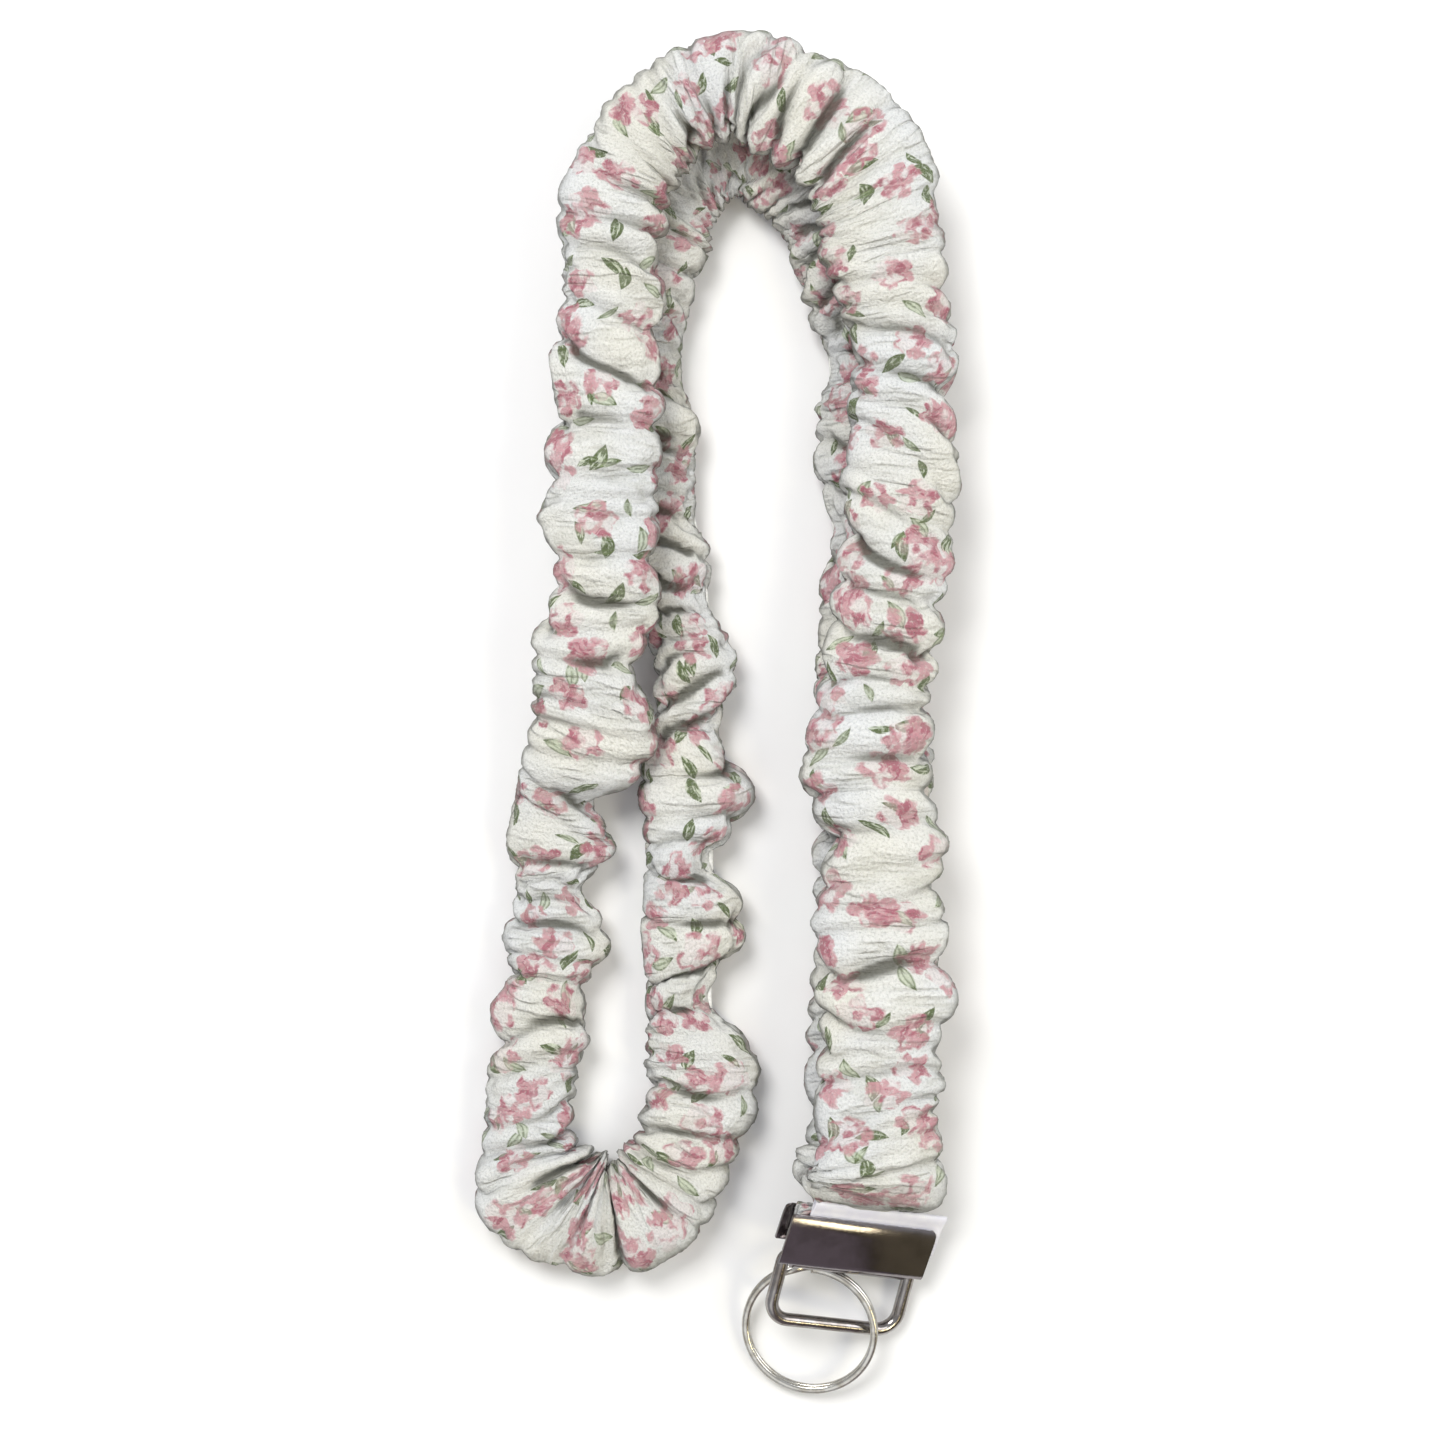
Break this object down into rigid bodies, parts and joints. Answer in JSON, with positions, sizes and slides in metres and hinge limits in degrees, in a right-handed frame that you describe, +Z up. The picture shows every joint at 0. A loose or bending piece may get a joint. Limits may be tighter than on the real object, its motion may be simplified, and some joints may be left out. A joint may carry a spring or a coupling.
{
  "type": "lanyard keychain",
  "caption": "Gathered floral fabric strap over elastic, folded into a neck-length loop, its ends crimped in a metal clamp that carries a wire loop and a split ring.",
  "frame": {"origin": "middle of the footprint, on the surface that the keychain lies on", "axes": "+Y along the folded strap, away from the metal hardware; +Z up from the surface; +X to the right seen from above"},
  "size_m": [0.0993, 0.2757, 0.0228],
  "materials": {
    "floral_velour": "soft ribbed pile, matte",
    "elastic": "knitted, matte",
    "pressed_fabric": "flattened pile, matte",
    "label_satin": "satin",
    "dark_nickel": "polished",
    "bright_nickel": "polished"
  },
  "bodies": {
    "strap": {"fabric_sleeve": "floral_velour", "elastic_band": "elastic"},
    "clamp": {"clamp": "dark_nickel", "sleeve_end_front": "pressed_fabric", "sleeve_end_rear": "pressed_fabric", "folded_label": "label_satin"},
    "wire_loop": {"wire_loop": "dark_nickel"},
    "split_ring": {"split_ring": "bright_nickel"}
  },
  "joints": [
    {"name": "clamp_flex", "type": "hinge", "parent": "strap", "child": "clamp", "pos_m": [0.02907, -0.09786, 0.01227], "axis": [-0.9215, 0.1831, 0.3424], "range_deg": [-45, 45]},
    {"name": "loop_pivot", "type": "hinge", "parent": "clamp", "child": "wire_loop", "pos_m": [0.0256, -0.1092, 0.009], "axis": [-0.9215, 0.1831, 0.3424], "range_deg": [-75, 25]},
    {"name": "ring_swing", "type": "hinge", "parent": "wire_loop", "child": "split_ring", "pos_m": [0.0222, -0.12286, 0.00716], "axis": [-0.9215, 0.1831, 0.3424], "range_deg": [-3, 110]}
  ]
}
